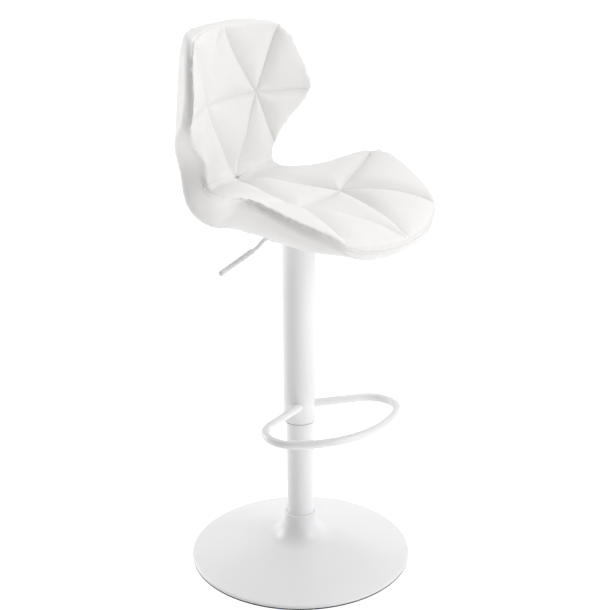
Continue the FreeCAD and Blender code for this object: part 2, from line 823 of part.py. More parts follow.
def seat_layer(label, low_share, high_share):
    """Solid between two shares of the seat's thickness."""
    lines = stations()
    surfaces = []
    for share in (low_share, high_share):
        grid = [[seat_point(line, across, share) for across in ACROSS] for line in lines]
        surface = Part.BSplineSurface()
        surface.interpolate(grid)
        surfaces.append(surface)
    faces = [surface.toShape() for surface in surfaces]
    low, high = surfaces
    low_ends = low.bounds()
    high_ends = high.bounds()
    for end in (0, 1):
        faces.append(Part.makeRuledSurface(low.uIso(low_ends[end]).toShape(),
                                           high.uIso(high_ends[end]).toShape()))
        faces.append(Part.makeRuledSurface(low.vIso(low_ends[2 + end]).toShape(),
                                           high.vIso(high_ends[2 + end]).toShape()))
    shell = Part.Shell(faces)
    shell.sewShape()
    solid = Part.Solid(shell)
    if solid.Volume < 0:
        solid.reverse()
    layer = doc.addObject("Part::Feature", label)
    layer.Shape = solid
    return layer


def crease_half(name, above):
    """Large block on one side of the plane through the crease."""
    crease = stations()[CREASE]
    tilt = math.radians(crease[6])
    size = 900
    box = doc.addObject("Part::Feature", name)
    box.Shape = Part.makeBox(size, size, size, Vector(-size / 2, -size / 2, 0 if above else -size))
    turn = Rotation(Vector(1, 0, 0), math.degrees(tilt) - 90)
    box.Placement = Placement(Vector(0, crease[0], crease[1]), turn)
    return box


def common(label, first, second):
    """What two shapes share."""
    item = doc.addObject("Part::Common", label)
    item.Base = first
    item.Tool = second
    return item


def seat_parts():
    """Cover, board and the two cushions, with room for the plate and its fasteners."""
    cover_share = value("cover_share")
    board_share = value("board_share")
    recess = block("plate_recess", "plate_width", "plate_depth", "plate_top - 500",
                   "0", "0", "500")
    shafts = [cylinder("bolt_shaft_%d" % number, "bolt_diameter / 2 + washer_thickness + nut_gap",
                       "nut_top - plate_low", across, depth, "plate_low")
              for number, (across, depth) in enumerate(bolt_places())]
    pockets = [cylinder("nut_pocket_%d" % number, "bolt_diameter * 1.4 + nut_gap",
                        "junction_thickness", across, depth, "nut_top - washer_thickness")
               for number, (across, depth) in enumerate(bolt_places())]
    cover = cut("outer_cover", seat_layer("cover_layer", 0, cover_share),
                [recess] + shafts + pockets)
    board = cut("seat_board", seat_layer("board_layer", cover_share, board_share),
                shafts + pockets)
    pan_layer = seat_layer("pan_layer", board_share, 1)
    back_layer = seat_layer("back_layer", board_share, 1)
    pan_cushion = common("pan_cushion", pan_layer, crease_half("crease_front", False))
    back_cushion = common("back_cushion", back_layer, crease_half("crease_rear", True))
    return [cover, board, pan_cushion, back_cushion]


SUB_PARTS = [
    base_dish(),
    floor_ring(),
    weight_disc(),
    collar_ring(),
    column_nut(),
    *column_parts(),
    *piston_parts(),
    *cylinder_parts(),
    *sleeve_parts(),
    footrest_loop(),
    mount_plate(),
    lift_housing(),
    taper_socket(),
    lever_pin(),
    *seat_fasteners(),
    *lever_parts(),
    *seat_parts(),
]
doc.recompute()


def check():
    """Stop if any object failed or any sub-part has no sound shape."""
    for item in doc.Objects:
        if {"Invalid", "Error"} & set(item.State):
            raise RuntimeError("%s failed: %s" % (item.Label, item.State))
    for part in SUB_PARTS:
        if part.Shape.isNull() or not part.Shape.isValid() or not part.Shape.Solids:
            raise RuntimeError("%s has no sound shape" % part.Label)


check()
os.makedirs("parts", exist_ok=True)
for part in SUB_PARTS:
    part.Shape.exportStep("parts/%s.step" % part.Label)
    print("%-16s %d solid(s) %12.1f mm3" % (part.Label, len(part.Shape.Solids), part.Shape.Volume))
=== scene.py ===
import math

import bmesh
import bpy
import numpy as np
from bpy.props import FloatProperty, FloatVectorProperty, PointerProperty
from mathutils import Euler, Matrix, Vector
from mathutils.bvhtree import BVHTree
from mathutils.kdtree import KDTree


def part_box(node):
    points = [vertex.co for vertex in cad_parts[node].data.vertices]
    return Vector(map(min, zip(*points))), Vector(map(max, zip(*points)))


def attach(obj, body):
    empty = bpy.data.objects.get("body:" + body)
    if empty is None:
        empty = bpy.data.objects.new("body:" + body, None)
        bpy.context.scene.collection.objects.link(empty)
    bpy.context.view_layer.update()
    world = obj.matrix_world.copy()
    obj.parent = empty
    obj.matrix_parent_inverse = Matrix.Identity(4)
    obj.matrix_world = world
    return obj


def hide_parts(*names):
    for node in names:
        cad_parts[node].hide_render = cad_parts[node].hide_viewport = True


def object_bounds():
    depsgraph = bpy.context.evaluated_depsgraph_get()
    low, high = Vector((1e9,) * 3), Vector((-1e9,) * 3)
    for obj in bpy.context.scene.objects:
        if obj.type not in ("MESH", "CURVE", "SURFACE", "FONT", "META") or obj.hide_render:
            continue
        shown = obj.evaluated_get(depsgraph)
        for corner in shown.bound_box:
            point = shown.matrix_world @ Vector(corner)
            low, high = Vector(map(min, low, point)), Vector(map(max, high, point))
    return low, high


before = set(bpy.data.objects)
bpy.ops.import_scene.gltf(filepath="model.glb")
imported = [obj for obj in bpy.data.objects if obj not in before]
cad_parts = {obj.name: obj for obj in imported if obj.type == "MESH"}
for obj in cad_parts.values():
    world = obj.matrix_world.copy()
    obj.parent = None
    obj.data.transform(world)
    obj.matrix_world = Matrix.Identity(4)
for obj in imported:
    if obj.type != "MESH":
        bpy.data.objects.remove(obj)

bl_info = {
    "name": "Quilted Bar Stool Looks",
    "version": (1, 0, 0),
    "blender": (4, 5, 0),
    "location": "3D View > Sidebar > Bar Stool",
    "description": "Quilted upholstery, painted steel and a studio for a swivel bar stool",
    "category": "Object",
}

CAD_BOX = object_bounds()
PAN_NODE = "pan_cushion"
BACK_NODE = "back_cushion"
COVER_NODES = ("outer_cover", "seat_board")
MM = 0.001
UP = np.array((0.0, 0.0, 1.0))
FORWARD = np.array((0.0, -1.0, 0.0))

# Quilting: a knot is where a pad's seams meet, and the loft fades towards knots, seams and rim.
PAN_KNOT = (0.062, -0.045)
BACK_KNOT = (0.066, 0.856)
QUILTED_FACING = (0.1, 0.55)
LOFT_FROM_RIM = 55 * MM
LOFT_FROM_SEAM = 30 * MM
KNOT_HOLLOW = 26 * MM
LOFT_AT_SEAM = 0.3
RIM_SHOWN = 0.3

# Stitching: seams fade towards the rim, and vertices close to a seam are drawn onto it.
SEAM_STRIP = 1.6
LEAST_SHOWN = 0.05
SNAP_TO_SEAM = 0.8 * MM
SEAM_FADE = 22 * MM
SEAM_AT_RIM = 0.35
VALLEY_WIDTHS = 4

# Cloth: panels puff out under air pressure between their held seams.
HELD_BY_SEAM = (2 * MM, 9 * MM)
LEAST_HOLD = 0.02
CLOTH_FRAMES = 20
AIR_PRESSURE = 9

# Cover: it sinks under the quilted panels, and has no skin over and round the mounting plate.
OPEN_FACING = (0.32, 0.75)
UNDER_PANELS = 9 * MM
UNDER_FRONT = 4 * MM
PLATE_MARGIN = 10 * MM
PLATE_RISE = 20 * MM
FINER_CELL = 0.8

# Smoothing: turns of relaxing before each return to the CAD surface, and turns of planing.
RELAX_TURNS = (5, 2)
RETURN_REACH = 9 * MM
PLANE_FIRST = 90
PLANE_LOFT = 30
PLANE_FINE = 16
PLANE_COVER = 40
SHRINK_AND_GROW = (0.5, -0.53)

# Front edge: its piping is found by rays towards the pan's middle, from low to high.
FRONT_MIDDLE = Vector((0, -0.05, 0))
FRONT_EDGE = (0.166, 0.184)
FRONT_HEIGHT = (0.70, 0.75)
FRONT_HALF_TURN = 41
RAY_START = 0.4
SCAN_LOW = 0.64
SCAN_STEP = 0.7 * MM
SCAN_COUNT = 110
HEIGHT_TURNS = 12
LINE_TURNS = 6
WELT_RISES = {"front_welt_upper": 0.8 * MM, "front_welt_lower": -5.4 * MM}
WELT_TAPER_RINGS = 6
WELT_END = 0.3

# Studio: each light's name, power setting, place and width.
AIM = Vector((0, 0, 0.6))
LIGHTS = (
    ("key_light", "key", (0.2, -2.3, 1.4), 1.6),
    ("rim_light", "rim", (-0.4, 2.3, 1.0), 1.3),
    ("top_light", "top", (0.5, 0.1, 2.8), 1.6),
)
DIM_SIDE = (-0.91, -0.40, -0.1)
DIM_SHARE = 0.1
FLOOR_GLOW = 0.22
FLOOR_GLOW_SEEN = 0.55


# ---------------------------------------------------------------- user's sizes


class UpholsterySizes(bpy.types.PropertyGroup):
    """Sizes of the quilted pads and their cover."""

    cell: FloatProperty(
        name="Cell", description="Mesh spacing of the pads before their last subdivision",
        default=3.8 * MM, min=3 * MM, unit="LENGTH")
    swell: FloatProperty(
        name="Swell", description="Furthest that a panel may puff out between its seams",
        default=6 * MM, unit="LENGTH")
    seam_depth: FloatProperty(
        name="Seam Depth", description="How deep a seam pulls in below its panels",
        default=3.6 * MM, unit="LENGTH")
    valley: FloatProperty(
        name="Valley", description="Depth of the soft hollow on both sides of a seam",
        default=2.6 * MM, unit="LENGTH")
    seam_width: FloatProperty(
        name="Seam Width", description="Distance in which a seam's valley flattens out",
        default=3.4 * MM, unit="LENGTH")
    loft: FloatProperty(
        name="Loft", description="Rise of the quilting above its knots",
        default=8 * MM, unit="LENGTH")
    tuck: FloatProperty(
        name="Tuck", description="How far the pads' sides stand inside their cover",
        default=2.2 * MM, unit="LENGTH")
    cover_skin: FloatProperty(
        name="Cover Skin", description="How far the cover stands outside the board's edge",
        default=1.2 * MM, unit="LENGTH")
    welt_out: FloatProperty(
        name="Welt Out", description="How far the piping's middle stands outside the front edge",
        default=0.2 * MM, unit="LENGTH")
    welt_radius: FloatProperty(
        name="Welt Radius", description="Radius of the piping along the front edge",
        default=2.2 * MM, unit="LENGTH")


class FinishColours(bpy.types.PropertyGroup):
    """Colours and glosses of the finishes."""

    leather: FloatVectorProperty(
        name="Leather", description="Colour of the upholstery leather",
        default=(0.85, 0.84, 0.83), subtype="COLOR", size=3, min=0, max=1)
    paint: FloatVectorProperty(
        name="Paint", description="Colour of the powder coat on the steel parts",
        default=(0.86, 0.86, 0.87), subtype="COLOR", size=3, min=0, max=1)
    leather_roughness: FloatProperty(
        name="Leather Roughness", description="Roughness of the leather's surface",
        default=0.42, min=0, max=1, subtype="FACTOR")
    paint_roughness: FloatProperty(
        name="Paint Roughness", description="Roughness of the powder coat",
        default=0.34, min=0, max=1, subtype="FACTOR")


class StudioSizes(bpy.types.PropertyGroup):
    """Camera, lights and floor."""

    camera_place: FloatVectorProperty(
        name="Camera Place", description="Where the camera stands",
        default=(-1.934, -1.424, 1.421), subtype="TRANSLATION", unit="LENGTH", size=3)
    camera_turn: FloatVectorProperty(
        name="Camera Turn", description="Which way the camera points",
        default=tuple(math.radians(a) for a in (69.04, 0.33, -54.02)), subtype="EULER", size=3)
    lens: FloatProperty(
        name="Lens", description="Focal length of the camera in millimetres",
        default=85.2, unit="CAMERA")
    floor_width: FloatProperty(
        name="Floor Width", description="Width of the studio floor", default=14, unit="LENGTH")
    sky: FloatProperty(
        name="Sky", description="Strength of the even light from all round", default=0.76)
    key: FloatProperty(
        name="Key", description="Power of the large light in front", default=26, unit="POWER")
    rim: FloatProperty(
        name="Rim", description="Power of the light behind on the left", default=21, unit="POWER")
    top: FloatProperty(
        name="Top", description="Power of the light overhead", default=17, unit="POWER")


SETTINGS = {"upholstery": UpholsterySizes, "finish": FinishColours, "studio": StudioSizes}


# ---------------------------------------------------------------- meshes


def solid_copy(*nodes):
    """Copy of CAD nodes in one bmesh, its loose triangles merged."""
    bm = bmesh.new()
    for node in nodes:
        bm.from_mesh(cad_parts[node].data)
    bmesh.ops.remove_doubles(bm, verts=bm.verts, dist=0.02 * MM)
    bmesh.ops.recalc_face_normals(bm, faces=bm.faces)
    return bm


def piece_from(bm, name, material):
    """New smooth-shaded piece from a bmesh, which is freed."""
    mesh = bpy.data.meshes.new(name)
    for face in bm.faces:
        face.smooth = True
    bm.to_mesh(mesh)
    bm.free()
    mesh.materials.append(material)
    piece = bpy.data.objects.new(name, mesh)
    bpy.context.scene.collection.objects.link(piece)
    return piece


def settle(piece):
    """Apply a piece's modifiers to its mesh."""
    bpy.context.view_layer.update()
    graph = bpy.context.evaluated_depsgraph_get()
    mesh = bpy.data.meshes.new_from_object(piece.evaluated_get(graph), depsgraph=graph)
    old = piece.data
    piece.modifiers.clear()
    piece.data = mesh
    mesh.name = piece.name
    bpy.data.meshes.remove(old)


def remesh(piece, cell):
    """Cover a closed piece with even quads of one size."""
    even = piece.modifiers.new("Even", "REMESH")
    even.mode = "VOXEL"
    even.voxel_size = cell
    even.use_smooth_shade = True
    settle(piece)


def subdivide(piece):
    """Give a piece one level of subdivision surface, applied."""
    finer = piece.modifiers.new("Finer", "SUBSURF")
    finer.levels = finer.render_levels = 1
    settle(piece)


def relax(bm, turns):
    """Soften a bmesh's edges by moving each vertex towards its neighbours."""
    for _ in range(turns):
        bmesh.ops.smooth_vert(bm, verts=bm.verts, factor=0.5,
                              use_axis_x=True, use_axis_y=True, use_axis_z=True)


def finish_piece(piece, body, slot, *replaced):
    """Put a piece on its body, and hide the CAD parts that it replaces."""
    if replaced:
        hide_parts(*replaced)
    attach(piece, body)


# ---------------------------------------------------------------- seams


def arc(first, last, bulge, steps=36):
    """Points from first to last in a flat pattern, the middle pushed sideways by bulge."""
    first, last = Vector(first), Vector(last)
    side = Vector((last - first).yx).normalized()
    side.x = -side.x
    points = []
    for step in range(steps + 1):
        share = step / steps
        points.append(first.lerp(last, share) + side * (4 * bulge * share * (1 - share)))
    return points


def both_sides(lines):
    """The lines and their mirror images across the middle."""
    return lines + [[Vector((-point.x, point.y)) for point in line] for line in lines]


def pan_seams():
    """Seams of the pan in plan, as (across, along) points."""
    side = [
        arc(PAN_KNOT, (0.204, -0.028), 0.0),
        arc(PAN_KNOT, (0.142, -0.212), 0.004),
        arc(PAN_KNOT, (0.0, -0.236), -0.003),
        arc(PAN_KNOT, (0.0, 0.138), -0.005),
    ]
    return both_sides(side) + [arc(PAN_KNOT, (-PAN_KNOT[0], PAN_KNOT[1]), 0.0)]


def back_seams():
    """Seams of the back seen from the front, as (across, up) points."""
    side = [
        arc(BACK_KNOT, (0.184, 0.848), 0.0),
        arc(BACK_KNOT, (0.124, 0.990), 0.002),
        arc(BACK_KNOT, (0.0, 0.996), 0.006),
        arc(BACK_KNOT, (0.0, 0.716), 0.003),
        arc(BACK_KNOT, (0.100, 0.742), 0.003),
    ]
    return both_sides(side) + [arc(BACK_KNOT, (-BACK_KNOT[0], BACK_KNOT[1]), 0.0)]


class SeamPattern:
    """Distances to the nearest seam, measured in a flat pattern."""

    CHUNK = 4000

    def __init__(self, lines, axes, facing, knot):
        self.axes = list(axes)
        self.facing = facing
        self.knots = np.array([knot, (-knot[0], knot[1])])
        runs = np.array([(tuple(run[0]), tuple(run[1])) for line in lines
                         for run in zip(line, line[1:])])
        self.starts = runs[:, 0]
        self.along = runs[:, 1] - runs[:, 0]
        self.squares = (self.along ** 2).sum(axis=1)

    def nearest(self, points):
        """Distance of each point, and the nearest spot on a seam in the pattern."""
        flat = points[:, self.axes]
        gaps = np.empty(len(flat))
        spots = np.empty_like(flat)
        for low in range(0, len(flat), self.CHUNK):
            part = slice(low, low + self.CHUNK)
            offset = flat[part, None, :] - self.starts[None]
            share = np.clip((offset * self.along).sum(axis=2) / self.squares, 0, 1)
            reach = offset - share[..., None] * self.along
            square = (reach ** 2).sum(axis=2)
            best = square.argmin(axis=1)
            rows = np.arange(len(best))
            gaps[part] = np.sqrt(square[rows, best])
            spots[part] = flat[part] - reach[rows, best]
        return gaps, spots

    def from_knots(self, points):
        """Distance of each point from the nearer knot, where the seams meet."""
        flat = points[:, self.axes]
        return np.linalg.norm(flat[:, None, :] - self.knots[None], axis=2).min(axis=1)

    def shown(self, piece):
        """How far each vertex of a piece belongs to the quilted side, from 0 to 1."""
        return evened(piece, smooth_step(*QUILTED_FACING, outward(piece) @ self.facing), 3)


def smooth_step(low, high, value):
    """Share from 0 at low to 1 at high, with soft ends."""
    share = np.clip((value - low) / (high - low), 0, 1)
    return share * share * (3 - 2 * share)


def places_of(verts):
    """Positions and normals of a mesh's or bmesh's vertices."""
    return (np.array([vert.co for vert in verts], float),
            np.array([vert.normal for vert in verts], float))


def put_vertices(piece, places):
    """Move a piece's vertices to new places."""
    piece.data.vertices.foreach_set("co", places.ravel())
    piece.data.update()


def neighbour_mean(piece):
    """Function that averages a number per vertex over each vertex's neighbours."""
    mesh = piece.data
    total = len(mesh.vertices)
    ends = np.empty(len(mesh.edges) * 2, np.int64)
    mesh.edges.foreach_get("vertices", ends)
    first, last = ends.reshape(-1, 2).T
    count = np.maximum(np.bincount(ends, minlength=total), 1)

    def mean(values):
        return (np.bincount(first, weights=values[last], minlength=total)
                + np.bincount(last, weights=values[first], minlength=total)) / count

    return mean


def evened(piece, values, turns):
    """Average a number per vertex with its neighbours' numbers, a few times."""
    mean = neighbour_mean(piece)
    for _ in range(turns):
        values = (values + mean(values)) / 2
    return values


def plane(piece, turns):
    """Take small bumps off a piece without shrinking it: smooth, then swell back."""
    mean = neighbour_mean(piece)
    columns = list(places_of(piece.data.vertices)[0].T)
    for _ in range(turns):
        for pull in SHRINK_AND_GROW:
            columns = [values + pull * (mean(values) - values) for values in columns]
    put_vertices(piece, np.stack(columns, axis=1))


def outward(piece, turns=5):
    """Normals of a piece's vertices, evened out over their neighbours."""
    normals = places_of(piece.data.vertices)[1]
    normals = np.stack([evened(piece, normals[:, axis], turns) for axis in range(3)], axis=1)
    return normals / np.maximum(np.linalg.norm(normals, axis=1), 1e-9)[:, None]


def swell(piece, pattern, cap):
    """Let air pressure puff the panels while their seams and underside are held."""
    before = places_of(piece.data.vertices)[0]
    gaps = pattern.nearest(before)[0]
    hold = np.maximum(1 - pattern.shown(piece), 1 - smooth_step(*HELD_BY_SEAM, gaps))
    held = piece.vertex_groups.new(name="held")
    for index in np.nonzero(hold > LEAST_HOLD)[0]:
        held.add([int(index)], float(min(hold[index], 1.0)), "REPLACE")
    moves = under_pressure(piece) - before
    piece.vertex_groups.clear()
    lengths = np.linalg.norm(moves, axis=1)
    scale = np.minimum(1, cap / np.maximum(lengths, 1e-9))
    moves = np.stack([evened(piece, moves[:, axis] * scale, 2) for axis in range(3)], axis=1)
    put_vertices(piece, before + moves)


def under_pressure(piece):
    """Positions of a piece's vertices after it is blown up as cloth."""
    cloth = piece.modifiers.new("Cloth", "CLOTH")
    cloth.settings.quality = 4
    cloth.settings.mass = 0.25
    cloth.settings.tension_stiffness = 12
    cloth.settings.compression_stiffness = 12
    cloth.settings.shear_stiffness = 6
    cloth.settings.bending_stiffness = 1.2
    cloth.settings.use_pressure = True
    cloth.settings.uniform_pressure_force = AIR_PRESSURE
    cloth.settings.effector_weights.gravity = 0
    cloth.settings.vertex_group_mass = "held"
    cloth.settings.pin_stiffness = 1
    cloth.collision_settings.use_collision = False
    cloth.point_cache.frame_start = 1
    cloth.point_cache.frame_end = CLOTH_FRAMES
    for number in range(1, CLOTH_FRAMES + 1):
        bpy.context.scene.frame_set(number)
    settle(piece)
    bpy.context.scene.frame_set(1)
    return places_of(piece.data.vertices)[0]


def stitch(piece, pattern, sizes):
    """Draw the seams into a pad: vertices near a seam go to it and sink."""
    width = sizes.seam_width
    places = places_of(piece.data.vertices)[0]
    close = (pattern.nearest(places)[0] < SEAM_STRIP * width) & (pattern.shown(piece) > LEAST_SHOWN)
    bm = bmesh.new()
    bm.from_mesh(piece.data)
    near = [edge for edge in bm.edges if any(close[vert.index] for vert in edge.verts)]
    bmesh.ops.subdivide_edges(bm, edges=near, cuts=1, use_grid_fill=True)
    for face in bm.faces:
        face.smooth = True
    bm.to_mesh(piece.data)
    bm.free()
    piece.data.update()
    places, normals = places_of(piece.data.vertices)[0], outward(piece, 3)
    gaps, spots = pattern.nearest(places)
    shown = pattern.shown(piece)
    snapped = gaps < SNAP_TO_SEAM
    moves = np.zeros_like(places)
    moves[:, pattern.axes] = (spots - places[:, pattern.axes]) * snapped[:, None]
    from_rim = smooth_step(0.0, SEAM_FADE, rim_distance(places, shown))
    inner = SEAM_AT_RIM + (1 - SEAM_AT_RIM) * from_rim
    sink = sizes.seam_depth * inner * np.exp(-np.where(snapped, 0, gaps) / width)
    sink += sizes.valley * inner * np.exp(-(gaps / (VALLEY_WIDTHS * width)) ** 2)
    put_vertices(piece, places + (moves - normals * sink[:, None]) * shown[:, None])


def tree_of(*nodes):
    """Search tree over the surfaces of CAD nodes."""
    bm = solid_copy(*nodes)
    tree = BVHTree.FromBMesh(bm)
    bm.free()
    return tree


def tree_of_pieces(*names):
    """Search tree over the surfaces of finished pieces."""
    bm = bmesh.new()
    for name in names:
        bm.from_mesh(bpy.data.objects[name].data)
    tree = BVHTree.FromBMesh(bm)
    bm.free()
    return tree


def ease(piece, tree):
    """Smooth away the remeshing's steps, and go back to the surface that it was made from."""
    bm = bmesh.new()
    bm.from_mesh(piece.data)
    for turns in RELAX_TURNS:
        relax(bm, turns)
        for vert in bm.verts:
            spot, _, _, gap = tree.find_nearest(vert.co)
            if gap is not None and gap < RETURN_REACH:
                vert.co = spot
    bm.to_mesh(piece.data)
    bm.free()
    piece.data.update()
    plane(piece, PLANE_FIRST)


def move_outwards(piece, distances):
    """Move each vertex of a piece outwards by its own distance."""
    places = places_of(piece.data.vertices)[0]
    put_vertices(piece, places + outward(piece) * distances[:, None])


def rim_distance(places, shown):
    """Distance of each vertex from the nearest vertex outside the quilted side."""
    outside = places[shown < RIM_SHOWN]
    tree = KDTree(len(outside))
    for index, place in enumerate(outside):
        tree.insert(place, index)
    tree.balance()
    return np.array([tree.find(place)[2] for place in places])


def at_front(places):
    """Share of each point that belongs to the pan's front edge, low and far forward."""
    low, high = FRONT_HEIGHT
    return smooth_step(*FRONT_EDGE, -places[:, 1]) * smooth_step(-high, -low, -places[:, 2])


def make_pad(name, node, pattern, sizes, material):
    """Make a quilted pad in the space of its CAD cushion, deepest where its seams meet."""
    piece = piece_from(solid_copy(node), name, material)
    remesh(piece, sizes.cell)
    ease(piece, tree_of(node))
    places = places_of(piece.data.vertices)[0]
    shown = pattern.shown(piece)
    inner = smooth_step(0.0, LOFT_FROM_RIM, rim_distance(places, shown))
    near_knot = np.exp(-(pattern.from_knots(places) / KNOT_HOLLOW) ** 2)
    from_seam = smooth_step(0.0, LOFT_FROM_SEAM, pattern.nearest(places)[0])
    crown = LOFT_AT_SEAM + (1 - LOFT_AT_SEAM) * from_seam
    loft = sizes.loft * inner * (1 - near_knot) * crown * shown
    tuck = sizes.tuck * (1 - shown) * (1 - at_front(places))
    move_outwards(piece, evened(piece, loft - tuck, 4))
    plane(piece, PLANE_LOFT)
    swell(piece, pattern, sizes.swell)
    subdivide(piece)
    plane(piece, PLANE_FINE)
    stitch(piece, pattern, sizes)
    finish_piece(piece, "seat", "foam_cushion", node)


def make_cover(sizes, material):
    """Wrap leather round the board and up the pads' sides, and sink it under the quilting."""
    nodes = (*COVER_NODES, PAN_NODE, BACK_NODE)
    piece = piece_from(solid_copy(*nodes), "shell_cover", material)
    remesh(piece, FINER_CELL * sizes.cell)
    ease(piece, tree_of(*nodes))
    places, normals = places_of(piece.data.vertices)[0], outward(piece)
    pan, back, board = tree_of(PAN_NODE), tree_of(BACK_NODE), tree_of(*COVER_NODES)
    gaps = np.array([[tree.find_nearest(Vector(place))[3] for tree in (pan, back, board)]
                     for place in places])
    nearest = gaps.argmin(axis=1)
    facing = np.where(nearest == 0, normals @ UP, np.where(nearest == 1, normals @ FORWARD, -1))
    open_side = evened(piece, smooth_step(*OPEN_FACING, facing), 8)
    front = at_front(places) * (nearest == 0)
    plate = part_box("mount_plate")[1]
    on_plate = ((np.abs(places[:, 0]) < plate.x + PLATE_MARGIN)
                & (np.abs(places[:, 1]) < plate.y + PLATE_MARGIN)
                & (places[:, 2] < plate.z + PLATE_RISE))
    skin = np.where(on_plate, 0, sizes.cover_skin)
    moves = skin * (1 - open_side) - UNDER_PANELS * open_side - UNDER_FRONT * front
    move_outwards(piece, evened(piece, moves, 3))
    plane(piece, PLANE_COVER)
    subdivide(piece)
    finish_piece(piece, "seat", "white_leather", *COVER_NODES)


def edge_spot(tree, away, height):
    """First spot that a level ray from the front meets on its way to the pan's middle."""
    start = FRONT_MIDDLE + away * RAY_START + Vector((0, 0, height))
    return tree.ray_cast(start, -away)[0]


def front_line(tree, rise, reach, steps=72):
    """Points round the pan's front edge, at a height above the edge's furthest point."""
    levels = []
    for step in range(steps + 1):
        turn = math.radians(FRONT_HALF_TURN * (2 * step / steps - 1))
        away = Vector((math.sin(turn), -math.cos(turn), 0))
        best, level = -1.0, None
        for number in range(SCAN_COUNT):
            spot = edge_spot(tree, away, SCAN_LOW + number * SCAN_STEP)
            if spot is not None and (spot - FRONT_MIDDLE).to_2d().length > best:
                best, level = (spot - FRONT_MIDDLE).to_2d().length, spot.z
        levels.append((away, level))
    heights = np.array([level for _, level in levels])
    for _ in range(HEIGHT_TURNS):
        heights[1:-1] = (heights[:-2] + 2 * heights[1:-1] + heights[2:]) / 4
    points = []
    for (away, _), height in zip(levels, heights):
        spot = edge_spot(tree, away, height + rise)
        if spot is not None:
            points.append(spot + away * reach)
    for _ in range(LINE_TURNS):
        points[1:-1] = [(before + 2 * point + after) / 4 for before, point, after
                        in zip(points, points[1:], points[2:])]
    return points


def cord_piece(name, points, radius, material, ring=10):
    """Round cord with closed ends along a run of points."""
    bm = bmesh.new()
    rings = []
    for index, point in enumerate(points):
        ahead = points[min(index + 1, len(points) - 1)]
        behind = points[max(index - 1, 0)]
        turn = (ahead - behind).to_track_quat("Z", "Y").to_matrix().to_4x4()
        from_end = min(index, len(points) - 1 - index) / WELT_TAPER_RINGS
        taper = min(1.0, WELT_END + (1 - WELT_END) * from_end)
        made = bmesh.ops.create_circle(bm, segments=ring, radius=radius * taper, cap_ends=False,
                                       matrix=Matrix.Translation(point) @ turn)
        rings.append(made["verts"])
    for first, last in zip(rings, rings[1:]):
        edges = list({edge for vert in first + last for edge in vert.link_edges
                      if all(v in first for v in edge.verts) or all(v in last for v in edge.verts)})
        bmesh.ops.bridge_loops(bm, edges=edges)
    for end in (rings[0], rings[-1]):
        bmesh.ops.contextual_create(bm, geom=end)
    bmesh.ops.recalc_face_normals(bm, faces=bm.faces)
    return piece_from(bm, name, material)


# ---------------------------------------------------------------- materials


MATERIALS = {}
ROUGH_MOTTLE = 0.08
COAT_ROUGHNESS = 0.25


def add_socket(group, name, kind, out=False, default=None):
    """Add a named input or output to a node group."""
    item = group.interface.new_socket(
        name=name, in_out="OUTPUT" if out else "INPUT", socket_type="NodeSocket" + kind)
    if default is not None:
        item.default_value = default


class Sheet:
    """One node tree, with its nodes laid out in rows of eight."""

    def __init__(self, tree):
        self.tree = tree
        self.column = 0

    def add(self, kind, inputs=None, **settings):
        """New shader node, with its inputs linked to sockets or set to values."""
        node = self.tree.nodes.new("ShaderNode" + kind)
        self.column += 1
        node.location = (220 * (self.column % 8), -220 * (self.column // 8))
        for key, value in settings.items():
            setattr(node, key, value)
        for key, value in (inputs or {}).items():
            if isinstance(value, bpy.types.NodeSocket):
                self.tree.links.new(value, node.inputs[key])
            else:
                node.inputs[key].default_value = value
        return node

    def math(self, operation, first, second):
        """Result of one sum or product of two values."""
        return self.add("Math", {0: first, 1: second}, operation=operation).outputs[0]


def group_of(name, inputs, outputs):
    """Empty shader node group with its sockets, and its sheet, input and output nodes."""
    tree = bpy.data.node_groups.new(name, "ShaderNodeTree")
    for label, kind, default in inputs:
        add_socket(tree, label, kind, default=default)
    for label, kind in outputs:
        add_socket(tree, label, kind, out=True)
    sheet = Sheet(tree)
    start = tree.nodes.new("NodeGroupInput")
    end = tree.nodes.new("NodeGroupOutput")
    end.location.x = 1900
    return sheet, start, end


def grain_group():
    """Leather grain: fine cells with soft valleys, broken up by a slower noise."""
    sheet, start, end = group_of(
        "Leather Grain",
        [("Vector", "Vector", None), ("Scale", "Float", 900.0)],
        [("Height", "Float"), ("Mottle", "Float")])
    wobble = sheet.add("TexNoise", {"Vector": start.outputs["Vector"], "Scale": 260.0})
    shift = sheet.add("VectorMath", {0: wobble.outputs["Color"], 3: 0.0008}, operation="SCALE")
    moved = sheet.add("VectorMath", {0: start.outputs["Vector"], 1: shift.outputs[0]},
                      operation="ADD")
    cells = sheet.add("TexVoronoi", {"Vector": moved.outputs[0],
                                     "Scale": start.outputs["Scale"]},
                      feature="DISTANCE_TO_EDGE")
    plateau = sheet.add("MapRange", {"Value": cells.outputs["Distance"], "From Min": 0.0,
                                     "From Max": 0.22}, interpolation_type="SMOOTHSTEP")
    slow = sheet.add("TexNoise", {"Vector": start.outputs["Vector"], "Scale": 38.0,
                                  "Detail": 3.0})
    height = sheet.math("MULTIPLY", plateau.outputs[0], slow.outputs[0])
    sheet.tree.links.new(height, end.inputs["Height"])
    sheet.tree.links.new(slow.outputs[0], end.inputs["Mottle"])
    return sheet.tree


